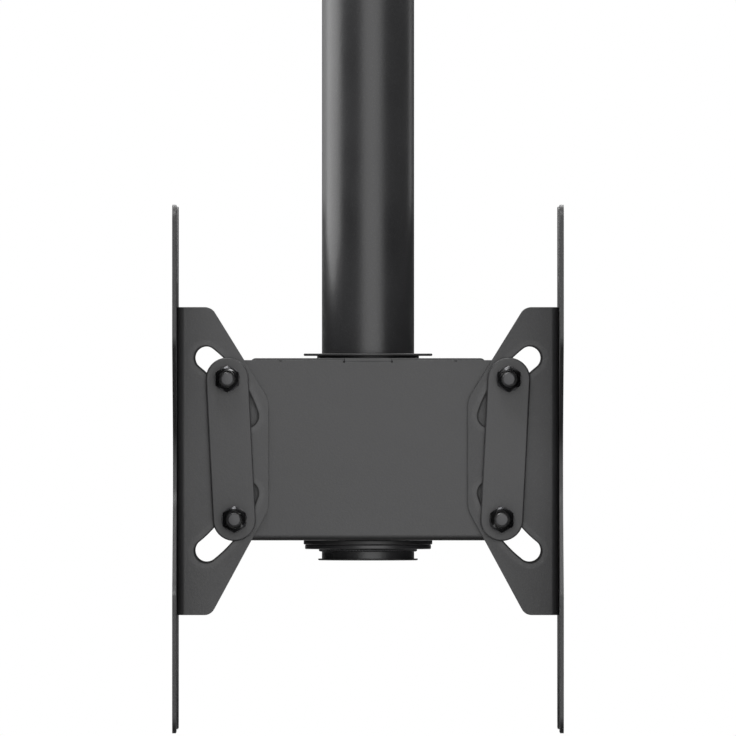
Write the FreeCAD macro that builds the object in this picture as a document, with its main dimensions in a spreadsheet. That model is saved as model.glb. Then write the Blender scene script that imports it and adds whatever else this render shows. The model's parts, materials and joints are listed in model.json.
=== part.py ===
import FreeCAD, Part
import math
import os
import Sketcher

# Tilt and swivel head that hangs two screens back to back on one round pole.
# The pole comes from above, runs through the head and ends just below it.
# Origin: centre of the pole's open top end. +Z up, screens face -X and +X.

SIZES = [
    # Pole: outer diameter, wall, length, and what shows of it under the support ring
    ("pole_diameter", 76.0),
    ("pole_wall", 3.0),
    ("pole_length", 500.0),
    ("pole_stub", 7.8),
    # Reamed socket in the pole's top end for the joiner above
    ("socket_depth", 60.0),
    ("socket_step", 0.5),
    # Ring welded to the pole, which carries the head
    ("ring_thickness", 3.8),
    ("ring_step", 1.1),
    ("ring_bevel", 0.6),
    ("weld_leg", 2.0),
    ("weld_gap", 0.05),
    # Insert cap in the pole's lower end
    ("cap_lip", 1.4),
    ("cap_bevel", 0.7),
    ("cap_overhang", 3.1),
    ("cap_depth", 24.0),
    ("cap_wall", 2.0),
    ("cap_fin", 1.2),
    ("cap_gap", 0.05),
    # Bushings between the pole and the housing's sleeve
    ("running_gap", 0.3),
    ("bush_wall", 1.6),
    ("bush_length", 45.0),
    ("seat_gap", 0.05),
    ("flange_overhang", 11.0),
    ("flange_bevel", 0.5),
    ("upper_flange", 2.0),
    ("lower_flange", 3.6),
    ("sleeve_wall", 2.0),
    ("sleeve_rise", 1.8),
    # Tilt: axis in front of the screen's face, radius of the arc slots, bolt angles
    ("axis_reach", 195.5),
    ("screen_offset", 35.5),
    ("slot_radius", 101.0),
    ("upper_bolt_angle", 37.8),
    ("lower_bolt_angle", 32.0),
    ("slot_start_angle", 18.3),
    ("slot_end_angle", 51.8),
    ("slot_half_width", 9.3),
    # Housing: sheet, cheeks rounded about the bolts, floor between the cheeks
    ("housing_sheet", 3.0),
    ("housing_margin", 9.0),
    ("cheek_corner", 17.2),
    ("cheek_step", 1.6),
    ("floor_inset", 12.85),
    ("relief_width", 2.6),
    ("outer_bend", 5.0),
    ("inner_bend", 2.0),
    ("tab_half_width", 19.2),
    ("tab_gap", 0.2),
    ("tab_slit", 0.5),
    ("tab_relief", 0.8),
    ("notch_inset", 25.0),
    ("notch_half_width", 1.1),
    ("lip_depth", 14.0),
    # Swivel lock on the far cheek
    ("lock_radius", 5.0),
    ("lock_head_radius", 9.2),
    ("lock_head_height", 6.4),
    ("lock_boss_wall", 5.0),
    ("lock_tip_gap", 0.4),
    # Yoke: folded sheet with two wings
    ("yoke_sheet", 3.0),
    ("yoke_depth", 78.0),
    ("yoke_top", 121.0),
    ("yoke_bottom", 132.0),
    ("wing_end_depth", 31.0),
    ("wing_half_edge", 45.0),
    ("wing_corner", 9.0),
    ("wing_edge_corner", 20.0),
    ("yoke_outer_bend", 6.5),
    ("web_window", 30.0),
    # Screen plate: hourglass arms with the screen's hole patterns and slots between them
    ("plate_sheet", 3.0),
    ("plate_drop", 11.6),
    ("wide_pattern", 400.0),
    ("middle_pattern", 300.0),
    ("small_pattern", 200.0),
    ("plate_margin", 16.0),
    ("screen_hole_radius", 4.25),
    ("slot_margin", 13.0),
    ("arm_width", 114.0),
    ("side_waist_depth", 138.0),
    ("end_waist_depth", 76.0),
    ("arm_corner", 14.0),
    ("waist_corner", 45.0),
    # Screws through screen plate and yoke
    ("plate_screw_reach", 42.0),
    ("plate_screw_rise", 82.0),
    ("plate_screw_radius", 3.0),
    ("plate_screw_end", 1.2),
    ("plate_drive_radius", 2.3),
    ("plate_drive_depth", 1.8),
    ("plate_nut_flats", 10.0),
    ("plate_nut_height", 5.0),
    # Clamp stack on the tilt bolts, from the cheek outwards
    ("bolt_radius", 6.0),
    ("bolt_clearance", 0.25),
    ("washer_radius", 15.0),
    ("washer_thickness", 1.5),
    ("bush_slack", 0.2),
    ("bush_side_gap", 0.3),
    ("clamp_bar_sheet", 4.0),
    ("clamp_bar_radius", 17.6),
    ("clamp_bar_edge", 0.8),
    ("spring_washer_radius", 10.4),
    ("spring_washer_thickness", 2.5),
    ("spring_washer_split", 1.6),
    ("nut_flats", 19.0),
    ("nut_height", 12.0),
    ("nut_collar", 4.0),
    ("nut_collar_radius", 8.8),
    ("nut_chamfer", 1.5),
    ("bolt_end", 1.5),
    ("bolt_end_chamfer", 1.0),
    ("neck_half_width", 6.1),
    ("head_radius", 13.0),
    ("head_height", 6.5),
    ("head_crown_radius", 6.0),
    ("head_shoulder_radius", 10.6),
    ("head_shoulder_height", 4.7),
    ("head_rim_height", 1.6),
]

doc = FreeCAD.newDocument("dual_screen_pole_head")
dims = doc.addObject("Spreadsheet::Sheet", "dims")
for row, (alias, value) in enumerate(SIZES, start=1):
    dims.set(f"A{row}", alias)
    dims.set(f"B{row}", str(value))
    dims.setAlias(f"B{row}", alias)
doc.recompute()


# Levels and radii that several pieces share, as expressions over the sheet
POLE_RADIUS = "(dims.pole_diameter / 2)"
POLE_BORE = f"({POLE_RADIUS} - dims.pole_wall)"
BUSH_BORE = f"({POLE_RADIUS} + dims.running_gap)"
BUSH_RADIUS = f"({BUSH_BORE} + dims.bush_wall)"
SLEEVE_BORE = f"({BUSH_RADIUS} + dims.seat_gap)"
SLEEVE_RADIUS = f"({SLEEVE_BORE} + dims.sleeve_wall)"
FLANGE_RADIUS = f"({SLEEVE_RADIUS} + dims.flange_overhang)"
RING_RADIUS = f"({FLANGE_RADIUS} - dims.ring_step)"

CHEEK_OUT = f"({FLANGE_RADIUS} + dims.housing_margin)"
CHEEK_IN = f"({CHEEK_OUT} - dims.housing_sheet)"
WING_IN = f"({CHEEK_OUT} + dims.washer_thickness)"
WING_OUT = f"({WING_IN} + dims.yoke_sheet)"
BAR_IN = f"({WING_OUT} + dims.washer_thickness)"
BAR_OUT = f"({BAR_IN} + dims.clamp_bar_sheet)"
NUT_IN = f"({BAR_OUT} + dims.spring_washer_thickness)"
NUT_OUT = f"({NUT_IN} + dims.nut_height)"

POLE_END = "(-dims.pole_length)"
RING_BOTTOM = f"({POLE_END} + dims.pole_stub)"
RING_TOP = f"({RING_BOTTOM} + dims.ring_thickness)"
HOUSING_BOTTOM = f"({RING_TOP} + dims.lower_flange)"
LOWER_BOLT_Z = f"({HOUSING_BOTTOM} + dims.cheek_corner)"
TILT_Z = f"({LOWER_BOLT_Z} + dims.slot_radius * sin(dims.lower_bolt_angle))"
UPPER_BOLT_Z = f"({TILT_Z} + dims.slot_radius * sin(dims.upper_bolt_angle))"
HOUSING_TOP = f"({UPPER_BOLT_Z} + dims.cheek_corner)"
SLEEVE_TOP = f"({HOUSING_TOP} + dims.sleeve_rise)"

TILT_X = "(-dims.axis_reach)"
UPPER_BOLT_X = f"({TILT_X} + dims.slot_radius * cos(dims.upper_bolt_angle))"
LOWER_BOLT_X = f"({TILT_X} + dims.slot_radius * cos(dims.lower_bolt_angle))"
FACE_X = f"({TILT_X} + dims.screen_offset)"
FLOOR_HALF = f"(-{LOWER_BOLT_X} - dims.floor_inset)"
WEB_FRONT_X = f"({FACE_X} + dims.plate_sheet)"
WEB_BACK_X = f"({WEB_FRONT_X} + dims.yoke_sheet)"
PLATE_Z = f"({TILT_Z} - dims.plate_drop)"
PLATE_HALF = "(dims.wide_pattern / 2 + dims.plate_margin)"
BOLT_HOLE = "(dims.bolt_radius + dims.bolt_clearance)"


def size(expression):
    """Millimetres that an expression over the sheet stands for."""
    return float(dims.evalExpression(expression))


def new_body(label):
    body = doc.addObject("PartDesign::Body", label)
    body.Label = label
    return body


def new_sketch(body, name, plane, offset="0"):
    """Sketch on one of the body's own planes, moved by offset along its normal."""
    sketch = body.newObject("Sketcher::SketchObject", f"{body.Label}_{name}")
    support = [item for item in body.Origin.OriginFeatures if item.Role == plane][0]
    sketch.AttachmentSupport = [(support, "")]
    sketch.MapMode = "FlatFace"
    sketch.setExpression("AttachmentOffset.Base.z", offset)
    return sketch


def bind(sketch, expression, *constraint):
    """Add one dimension to a sketch and tie it to the sheet."""
    index = sketch.addConstraint(Sketcher.Constraint(*constraint, size(expression)))
    sketch.setExpression(f"Constraints[{index}]", expression)


def place_point(sketch, geometry, point, across, up):
    """Tie a point of the sketch to its distances from the sketch's origin."""
    bind(sketch, across, "DistanceX", -1, 1, geometry, point)
    bind(sketch, up, "DistanceY", -1, 1, geometry, point)


def draw_polygon(sketch, points):
    """Closed outline through points, each a pair of expressions."""
    corners = [FreeCAD.Vector(size(across), size(up), 0) for across, up in points]
    lines = [
        sketch.addGeometry(Part.LineSegment(corner, corners[(i + 1) % len(corners)]))
        for i, corner in enumerate(corners)
    ]
    for i, line in enumerate(lines):
        following = lines[(i + 1) % len(lines)]
        sketch.addConstraint(Sketcher.Constraint("Coincident", line, 2, following, 1))
    for line, (across, up) in zip(lines, points):
        place_point(sketch, line, 1, across, up)


def draw_rectangle(sketch, left, right, low, high):
    draw_polygon(sketch, [(left, low), (right, low), (right, high), (left, high)])


def hexagon(across, up, corner_radius):
    """Six corners, one of them straight up."""
    return [
        (f"{across} + {corner_radius} * cos({angle})", f"{up} + {corner_radius} * sin({angle})")
        for angle in range(30, 390, 60)
    ]


def draw_circle(sketch, across, up, radius):
    centre = FreeCAD.Vector(size(across), size(up), 0)
    circle = sketch.addGeometry(Part.Circle(centre, FreeCAD.Vector(0, 0, 1), size(radius)))
    bind(sketch, radius, "Radius", circle)
    place_point(sketch, circle, 3, across, up)


def draw_band(sketch, centres, radius):
    """Outline of a belt laid tight round equal discs, their centres anticlockwise."""
    middle = [FreeCAD.Vector(size(across), size(up), 0) for across, up in centres]
    count = len(middle)
    normals = []
    for i in range(count):
        along = middle[(i + 1) % count] - middle[i]
        normals.append(FreeCAD.Vector(along.y, -along.x, 0).normalize())
    lines = []
    arcs = []
    for i in range(count):
        out = normals[i] * size(radius)
        lines.append(
            sketch.addGeometry(Part.LineSegment(middle[i] + out, middle[(i + 1) % count] + out))
        )
    for i in range(count):
        before = math.atan2(normals[i - 1].y, normals[i - 1].x)
        after = math.atan2(normals[i].y, normals[i].x)
        disc = Part.Circle(middle[i], FreeCAD.Vector(0, 0, 1), size(radius))
        arcs.append(sketch.addGeometry(Part.ArcOfCircle(disc, before, after)))
    for i in range(count):
        sketch.addConstraint(Sketcher.Constraint("Tangent", lines[i - 1], 2, arcs[i], 1))
        sketch.addConstraint(Sketcher.Constraint("Tangent", arcs[i], 2, lines[i], 1))
    bind(sketch, radius, "Radius", arcs[0])
    for arc in arcs[1:]:
        sketch.addConstraint(Sketcher.Constraint("Equal", arcs[0], arc))
    for arc, (across, up) in zip(arcs, centres):
        place_point(sketch, arc, 3, across, up)


def draw_arc_slot(sketch, across, up, radius, half_width, start, end):
    """Curved slot about the point (across, up), between two angles in degrees."""
    axis = FreeCAD.Vector(0, 0, 1)
    centre = FreeCAD.Vector(size(across), size(up), 0)
    first = math.radians(size(start))
    last = math.radians(size(end))

    def end_centre(angle):
        return centre + FreeCAD.Vector(math.cos(angle), math.sin(angle), 0) * size(radius)

    outer_circle = Part.Circle(centre, axis, size(f"{radius} + {half_width}"))
    inner_circle = Part.Circle(centre, axis, size(f"{radius} - {half_width}"))
    first_circle = Part.Circle(end_centre(first), axis, size(half_width))
    last_circle = Part.Circle(end_centre(last), axis, size(half_width))
    outer = sketch.addGeometry(Part.ArcOfCircle(outer_circle, first, last))
    inner = sketch.addGeometry(Part.ArcOfCircle(inner_circle, first, last))
    last_cap = sketch.addGeometry(Part.ArcOfCircle(last_circle, last, last + math.pi))
    first_cap = sketch.addGeometry(
        Part.ArcOfCircle(first_circle, first + math.pi, first + 2 * math.pi)
    )
    sketch.addConstraint(Sketcher.Constraint("Tangent", outer, 2, last_cap, 1))
    sketch.addConstraint(Sketcher.Constraint("Tangent", last_cap, 2, inner, 2))
    sketch.addConstraint(Sketcher.Constraint("Tangent", inner, 1, first_cap, 1))
    sketch.addConstraint(Sketcher.Constraint("Tangent", first_cap, 2, outer, 1))
    place_point(sketch, outer, 3, across, up)
    sketch.addConstraint(Sketcher.Constraint("Coincident", outer, 3, inner, 3))
    bind(sketch, f"{radius} + {half_width}", "Radius", outer)
    bind(sketch, f"{radius} - {half_width}", "Radius", inner)
    bind(sketch, f"{up} + {radius} * sin({start})", "DistanceY", -1, 1, first_cap, 3)
    bind(sketch, f"{up} + {radius} * sin({end})", "DistanceY", -1, 1, last_cap, 3)


def pad(body, sketch, length, both_ways=False, backwards=False):
    feature = body.newObject("PartDesign::Pad", f"{sketch.Name}_pad")
    feature.Profile = sketch
    feature.Reversed = backwards
    if both_ways:
        feature.SideType = "Symmetric"
    feature.setExpression("Length", length)
    doc.recompute()
    return feature


def pocket(body, sketch, length, both_ways=False, backwards=False):
    """Cut a sketch into the body and make sure that it removed something."""
    volume = body.Shape.Volume
    feature = body.newObject("PartDesign::Pocket", f"{sketch.Name}_pocket")
    feature.Profile = sketch
    feature.Reversed = backwards
    if both_ways:
        feature.SideType = "Symmetric"
    feature.setExpression("Length", length)
    doc.recompute()
    if body.Shape.Volume >= volume:
        raise RuntimeError(f"{feature.Name} cuts nothing")
    return feature


def revolve(body, sketch):
    """Turn a sketch drawn beside the body's vertical axis."""
    feature = body.newObject("PartDesign::Revolution", f"{sketch.Name}_turned")
    feature.Profile = sketch
    feature.ReferenceAxis = (sketch, ["V_Axis"])
    feature.Angle = 360
    doc.recompute()
    return feature


def find_edges(feature, direction, places):
    """Names of the straight edges along direction that hold one of the places."""
    spots = [Part.Vertex(*(size(value) for value in place)) for place in places]
    names = []
    for number, edge in enumerate(feature.Shape.Edges, start=1):
        if not isinstance(edge.Curve, Part.Line):
            continue
        if edge.Curve.Direction.cross(direction).Length > 0.001:
            continue
        if any(edge.distToShape(spot)[0] < 0.01 for spot in spots):
            names.append(f"Edge{number}")
    return names


def round_edges(body, direction, places, radius):
    """Round the edges along direction that hold the places."""
    base = body.Tip
    names = find_edges(base, direction, places)
    if len(names) < len(places):
        raise RuntimeError(f"{body.Label}: an edge to round is missing")
    feature = body.newObject("PartDesign::Fillet", f"{base.Name}_rounded")
    feature.Base = (base, names)
    feature.setExpression("Radius", radius)
    doc.recompute()
    return feature


ALONG_X = FreeCAD.Vector(1, 0, 0)
ALONG_Y = FreeCAD.Vector(0, 1, 0)
ALONG_Z = FreeCAD.Vector(0, 0, 1)


# Pole tube: plain steel tube, reamed at the top for the joiner above
def make_pole_tube():
    body = new_body("pole_tube")
    section = new_sketch(body, "section", "XY_Plane")
    draw_circle(section, "0", "0", POLE_RADIUS)
    draw_circle(section, "0", "0", POLE_BORE)
    pad(body, section, "dims.pole_length", backwards=True)
    socket = new_sketch(body, "socket", "XY_Plane")
    draw_circle(socket, "0", "0", f"{POLE_BORE} + dims.socket_step")
    pocket(body, socket, "dims.socket_depth")
    return body


# Support ring: flat steel ring with a weld bead under it, fixed round the pole
def make_support_ring():
    body = new_body("support_ring")
    profile = new_sketch(body, "profile", "XZ_Plane")
    bore = f"({POLE_RADIUS} + dims.weld_gap)"
    draw_polygon(profile, [
        (bore, f"{RING_BOTTOM} - dims.weld_leg"),
        (f"{bore} + dims.weld_leg", RING_BOTTOM),
        (f"{RING_RADIUS} - dims.ring_bevel", RING_BOTTOM),
        (RING_RADIUS, f"{RING_BOTTOM} + dims.ring_bevel"),
        (RING_RADIUS, f"{RING_TOP} - dims.ring_bevel"),
        (f"{RING_RADIUS} - dims.ring_bevel", RING_TOP),
        (bore, RING_TOP),
    ])
    revolve(body, profile)
    return body


# End cap: moulded insert, a hollow plug with three fins and a thin lip that overhangs
def make_pole_end_cap():
    body = new_body("pole_end_cap")
    plug = f"({POLE_BORE} - dims.cap_fin)"
    lip = f"({POLE_RADIUS} + dims.cap_overhang)"
    profile = new_sketch(body, "profile", "XZ_Plane")
    draw_polygon(profile, [
        ("0", f"{POLE_END} - dims.cap_lip"),
        (f"{lip} - dims.cap_bevel", f"{POLE_END} - dims.cap_lip"),
        (lip, f"{POLE_END} - dims.cap_lip + dims.cap_bevel"),
        (lip, POLE_END),
        (plug, POLE_END),
        (plug, f"{POLE_END} + dims.cap_depth"),
        (f"{plug} - dims.cap_wall", f"{POLE_END} + dims.cap_depth"),
        (f"{plug} - dims.cap_wall", f"{POLE_END} + dims.cap_wall"),
        ("0", f"{POLE_END} + dims.cap_wall"),
    ])
    revolve(body, profile)
    for number in (1, 2, 3):
        level = f"({POLE_END} + dims.cap_depth * {number} / 4)"
        fin = new_sketch(body, f"fin_{number}", "XZ_Plane")
        draw_polygon(fin, [
            (f"{plug} - dims.cap_wall / 2", f"{level} - dims.cap_fin"),
            (plug, f"{level} - dims.cap_fin"),
            (f"{POLE_BORE} - dims.cap_gap", level),
            (plug, f"{level} + dims.cap_fin / 2"),
            (f"{plug} - dims.cap_wall / 2", f"{level} + dims.cap_fin / 2"),
        ])
        revolve(body, fin)
    return body


# Housing channel: folded sheet, two cheeks rounded about the tilt bolts and a floor.
# The bends stop short of the cheeks' ends, with a relief cut at each.
def make_housing_channel():
    body = new_body("housing_channel")
    outline = new_sketch(body, "outline", "XZ_Plane")
    draw_band(outline, [
        (UPPER_BOLT_X, UPPER_BOLT_Z),
        (LOWER_BOLT_X, LOWER_BOLT_Z),
        (f"-{LOWER_BOLT_X}", LOWER_BOLT_Z),
        (f"-{UPPER_BOLT_X}", UPPER_BOLT_Z),
    ], "dims.cheek_corner")
    pad(body, outline, f"2 * {CHEEK_OUT}", both_ways=True)

    inside = new_sketch(body, "inside", "YZ_Plane")
    floor_top = f"({HOUSING_BOTTOM} + dims.housing_sheet)"
    above = f"({HOUSING_TOP} + dims.cheek_corner)"
    draw_rectangle(inside, f"-{CHEEK_IN}", CHEEK_IN, floor_top, above)
    pocket(body, inside, "2 * dims.axis_reach", both_ways=True)

    beyond = "dims.axis_reach"
    floor_ends = new_sketch(body, "floor_ends", "XY_Plane", HOUSING_BOTTOM)
    draw_rectangle(floor_ends, FLOOR_HALF, beyond, f"-{CHEEK_IN}", CHEEK_IN)
    draw_rectangle(floor_ends, f"-{beyond}", f"-{FLOOR_HALF}", f"-{CHEEK_IN}", CHEEK_IN)
    pocket(body, floor_ends, "dims.housing_sheet", backwards=True)

    reliefs = new_sketch(body, "reliefs", "XZ_Plane")
    relief_top = f"({HOUSING_BOTTOM} + dims.outer_bend + dims.relief_width / 2)"
    relief_end = f"({FLOOR_HALF} + dims.relief_width)"
    relief_low = f"({HOUSING_BOTTOM} - dims.housing_sheet)"
    draw_rectangle(reliefs, FLOOR_HALF, relief_end, relief_low, relief_top)
    draw_rectangle(reliefs, f"-{relief_end}", f"-{FLOOR_HALF}", relief_low, relief_top)
    pocket(body, reliefs, f"3 * {CHEEK_OUT}", both_ways=True)

    cheek_tops = new_sketch(body, "cheek_tops", "XZ_Plane")
    draw_rectangle(cheek_tops, f"-{beyond}", beyond, f"({HOUSING_TOP} - dims.cheek_step)", above)
    pocket(body, cheek_tops, f"3 * {CHEEK_OUT}", both_ways=True)

    outer_corners = [("0", side + CHEEK_OUT, HOUSING_BOTTOM) for side in ("-", "")]
    round_edges(body, ALONG_X, outer_corners, "dims.outer_bend")
    inner_corners = [("0", side + CHEEK_IN, floor_top) for side in ("-", "")]
    round_edges(body, ALONG_X, inner_corners, "dims.inner_bend")

    notches = new_sketch(body, "notches", "XZ_Plane")
    tab_seat = f"({HOUSING_TOP} - dims.housing_sheet)"
    tab_side = "(dims.tab_half_width + dims.tab_slit)"
    draw_rectangle(notches, f"-{tab_side}", tab_side, tab_seat, above)
    for side in ("-", ""):
        middle = f"{side}({FLOOR_HALF} - dims.notch_inset)"
        left = f"{middle} - dims.notch_half_width"
        right = f"{middle} + dims.notch_half_width"
        draw_rectangle(notches, left, right, tab_seat, above)
    pocket(body, notches, f"3 * {CHEEK_OUT}", both_ways=True)
    corner_reliefs = new_sketch(body, "corner_reliefs", "XZ_Plane")
    for side in ("-", ""):
        draw_circle(corner_reliefs, side + tab_side, tab_seat, "dims.tab_relief")
    pocket(body, corner_reliefs, f"3 * {CHEEK_OUT}", both_ways=True)

    bolt_holes = new_sketch(body, "bolt_holes", "XZ_Plane")
    half = "(dims.neck_half_width + dims.bolt_clearance)"
    for side in ("-", ""):
        for across, up in ((UPPER_BOLT_X, UPPER_BOLT_Z), (LOWER_BOLT_X, LOWER_BOLT_Z)):
            x = f"({side}{across})"
            draw_rectangle(bolt_holes, f"{x} - {half}", f"{x} + {half}",
                           f"{up} - {half}", f"{up} + {half}")
    pocket(body, bolt_holes, f"3 * {CHEEK_OUT}", both_ways=True)

    sleeve_hole = new_sketch(body, "sleeve_hole", "XY_Plane", HOUSING_BOTTOM)
    draw_circle(sleeve_hole, "0", "0", f"{SLEEVE_RADIUS} + dims.seat_gap")
    pocket(body, sleeve_hole, "dims.housing_sheet", backwards=True)

    lock_hole = new_sketch(body, "lock_hole", "XZ_Plane", f"-{CHEEK_OUT}")
    draw_circle(lock_hole, "0", TILT_Z, "dims.lock_radius + dims.bolt_clearance")
    pocket(body, lock_hole, "2 * dims.housing_sheet", both_ways=True)
    return body


# Top plate: folded at both ends, lies between the cheeks, a little higher than their edges,
# and sits on a tab in each
def make_housing_top_plate():
    body = new_body("housing_top_plate")
    section = new_sketch(body, "section", "XZ_Plane")
    end = FLOOR_HALF
    under = f"({HOUSING_TOP} - dims.housing_sheet)"
    lip_end = f"({HOUSING_TOP} - dims.lip_depth)"
    lip_inside = f"({end} - dims.housing_sheet)"
    draw_polygon(section, [
        (f"-{end}", lip_end),
        (f"-{lip_inside}", lip_end),
        (f"-{lip_inside}", under),
        (lip_inside, under),
        (lip_inside, lip_end),
        (end, lip_end),
        (end, HOUSING_TOP),
        (f"-{end}", HOUSING_TOP),
    ])
    pad(body, section, f"2 * ({CHEEK_IN} - dims.tab_gap)", both_ways=True)
    outer_corners = [(side + end, "0", HOUSING_TOP) for side in ("-", "")]
    round_edges(body, ALONG_Y, outer_corners, "dims.outer_bend")
    inner_corners = [(side + lip_inside, "0", under) for side in ("-", "")]
    round_edges(body, ALONG_Y, inner_corners, "dims.inner_bend")
    tab = new_sketch(body, "tab", "XY_Plane", HOUSING_TOP)
    draw_rectangle(tab, "-dims.tab_half_width", "dims.tab_half_width", f"-{CHEEK_OUT}", CHEEK_OUT)
    pad(body, tab, "dims.housing_sheet", backwards=True)
    hole = new_sketch(body, "hole", "XY_Plane", HOUSING_TOP)
    draw_circle(hole, "0", "0", f"{SLEEVE_RADIUS} + dims.seat_gap")
    pocket(body, hole, "dims.housing_sheet")
    return body


# Sleeve: steel tube round the pole, welded through the floor and the top plate
def make_housing_sleeve():
    body = new_body("housing_sleeve")
    section = new_sketch(body, "section", "XY_Plane", HOUSING_BOTTOM)
    draw_circle(section, "0", "0", SLEEVE_RADIUS)
    draw_circle(section, "0", "0", SLEEVE_BORE)
    pad(body, section, f"{SLEEVE_TOP} - {HOUSING_BOTTOM}")
    hole = new_sketch(body, "lock_hole", "XZ_Plane", f"-{SLEEVE_RADIUS}")
    draw_circle(hole, "0", TILT_Z, "dims.lock_radius + dims.bolt_clearance")
    pocket(body, hole, f"{SLEEVE_RADIUS}", both_ways=True)
    return body


# Bushing: flanged plastic sleeve pressed into an end of the steel sleeve
def make_bushing(label, seat, flange_face, tip):
    body = new_body(label)
    toward_face = "+" if size(flange_face) > size(seat) else "-"
    away = "-" if toward_face == "+" else "+"
    profile = new_sketch(body, "profile", "XZ_Plane")
    draw_polygon(profile, [
        (BUSH_BORE, tip),
        (BUSH_RADIUS, tip),
        (BUSH_RADIUS, seat),
        (f"{FLANGE_RADIUS} - dims.flange_bevel", seat),
        (FLANGE_RADIUS, f"{seat} {toward_face} dims.flange_bevel"),
        (FLANGE_RADIUS, f"{flange_face} {away} dims.flange_bevel"),
        (f"{FLANGE_RADIUS} - dims.flange_bevel", flange_face),
        (BUSH_BORE, flange_face),
    ])
    revolve(body, profile)
    return body


# Swivel lock: a boss welded between the sleeve and the far cheek, and the screw in it
def make_swivel_lock_boss():
    body = new_body("swivel_lock_boss")
    section = new_sketch(body, "section", "XZ_Plane")
    draw_circle(section, "0", TILT_Z, "dims.lock_radius + dims.lock_boss_wall")
    draw_circle(section, "0", TILT_Z, "dims.lock_radius + dims.bolt_clearance")
    pad(body, section, CHEEK_IN, backwards=True)
    saddle = new_sketch(body, "saddle", "XY_Plane", TILT_Z)
    draw_circle(saddle, "0", "0", f"{SLEEVE_RADIUS} + dims.seat_gap")
    pocket(body, saddle, "4 * (dims.lock_radius + dims.lock_boss_wall)", both_ways=True)
    return body


def make_swivel_lock_screw():
    body = new_body("swivel_lock_screw")
    shank = new_sketch(body, "shank", "XZ_Plane", f"-({POLE_RADIUS} + dims.lock_tip_gap)")
    draw_circle(shank, "0", TILT_Z, "dims.lock_radius")
    pad(body, shank, f"{CHEEK_OUT} - {POLE_RADIUS} - dims.lock_tip_gap", backwards=True)
    head = new_sketch(body, "head", "XZ_Plane", f"-{CHEEK_OUT}")
    draw_polygon(head, hexagon("0", TILT_Z, "dims.lock_head_radius"))
    pad(body, head, "dims.lock_head_height", backwards=True)
    return body


# Clamp bar: flat steel link outside the wing, held by both tilt bolts
def make_clamp_bar():
    body = new_body("near_left_clamp_bar")
    outline = new_sketch(body, "outline", "XZ_Plane", BAR_IN)
    centres = [(UPPER_BOLT_X, UPPER_BOLT_Z), (LOWER_BOLT_X, LOWER_BOLT_Z)]
    draw_band(outline, centres, "dims.clamp_bar_radius")
    for across, up in centres:
        draw_circle(outline, across, up, BOLT_HOLE)
    bar = pad(body, outline, "dims.clamp_bar_sheet")
    front = [
        f"Edge{number}" for number, edge in enumerate(bar.Shape.Edges, start=1)
        if all(abs(vertex.Y + size(BAR_OUT)) < 0.001 for vertex in edge.Vertexes)
        and edge.BoundBox.DiagonalLength > 4 * size(BOLT_HOLE)
    ]
    bevel = body.newObject("PartDesign::Chamfer", "near_left_clamp_bar_bevel")
    bevel.Base = (bar, front)
    bevel.setExpression("Size", "dims.clamp_bar_edge")
    doc.recompute()
    return body


# Yoke: folded sheet behind the screen plate, a web and two wings.
# Each wing has two arc slots about the tilt axis, which lies in front of the screen's face.
def make_yoke():
    body = new_body("left_yoke")
    top = f"({TILT_Z} + dims.yoke_top)"
    bottom = f"({TILT_Z} - dims.yoke_bottom)"
    shoulder = f"({FACE_X} + dims.wing_end_depth)"
    inner = f"({FACE_X} + dims.yoke_depth)"
    edge_top = f"({TILT_Z} + dims.wing_half_edge)"
    edge_bottom = f"({TILT_Z} - dims.wing_half_edge)"
    outline = new_sketch(body, "outline", "XZ_Plane")
    draw_polygon(outline, [
        (WEB_FRONT_X, bottom),
        (shoulder, bottom),
        (inner, edge_bottom),
        (inner, edge_top),
        (shoulder, top),
        (WEB_FRONT_X, top),
    ])
    for start, end in (
        ("dims.slot_start_angle", "dims.slot_end_angle"),
        ("-dims.slot_end_angle", "-dims.slot_start_angle"),
    ):
        draw_arc_slot(outline, TILT_X, TILT_Z, "dims.slot_radius", "dims.slot_half_width",
                      start, end)
    pad(body, outline, f"2 * {WING_OUT}", both_ways=True)
    between = new_sketch(body, "between", "XY_Plane", TILT_Z)
    draw_rectangle(between, WEB_BACK_X, "0", f"-{WING_IN}", WING_IN)
    pocket(body, between, "3 * dims.yoke_bottom", both_ways=True)

    wings = ("-" + WING_IN, WING_IN)
    ends = [(shoulder, wing, level) for wing in wings for level in (top, bottom)]
    round_edges(body, ALONG_Y, ends, "dims.wing_corner")
    sides = [(inner, wing, level) for wing in wings for level in (edge_top, edge_bottom)]
    round_edges(body, ALONG_Y, sides, "dims.wing_edge_corner")
    outer_folds = [(WEB_FRONT_X, side + WING_OUT, TILT_Z) for side in ("-", "")]
    round_edges(body, ALONG_Z, outer_folds, "dims.yoke_outer_bend")
    inner_folds = [(WEB_BACK_X, wing, TILT_Z) for wing in wings]
    round_edges(body, ALONG_Z, inner_folds, "dims.yoke_outer_bend - dims.yoke_sheet")

    holes = new_sketch(body, "holes", "YZ_Plane", WEB_FRONT_X)
    draw_circle(holes, "0", PLATE_Z, "dims.web_window")
    for across, up in plate_screw_places():
        draw_circle(holes, across, up, "dims.plate_screw_radius + dims.bolt_clearance")
    pocket(body, holes, "dims.yoke_sheet", backwards=True)
    return body


def plate_screw_places():
    return [
        (f"{side}dims.plate_screw_reach", f"{PLATE_Z} {rise} dims.plate_screw_rise")
        for side in ("-", "") for rise in ("-", "+")
    ]


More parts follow.
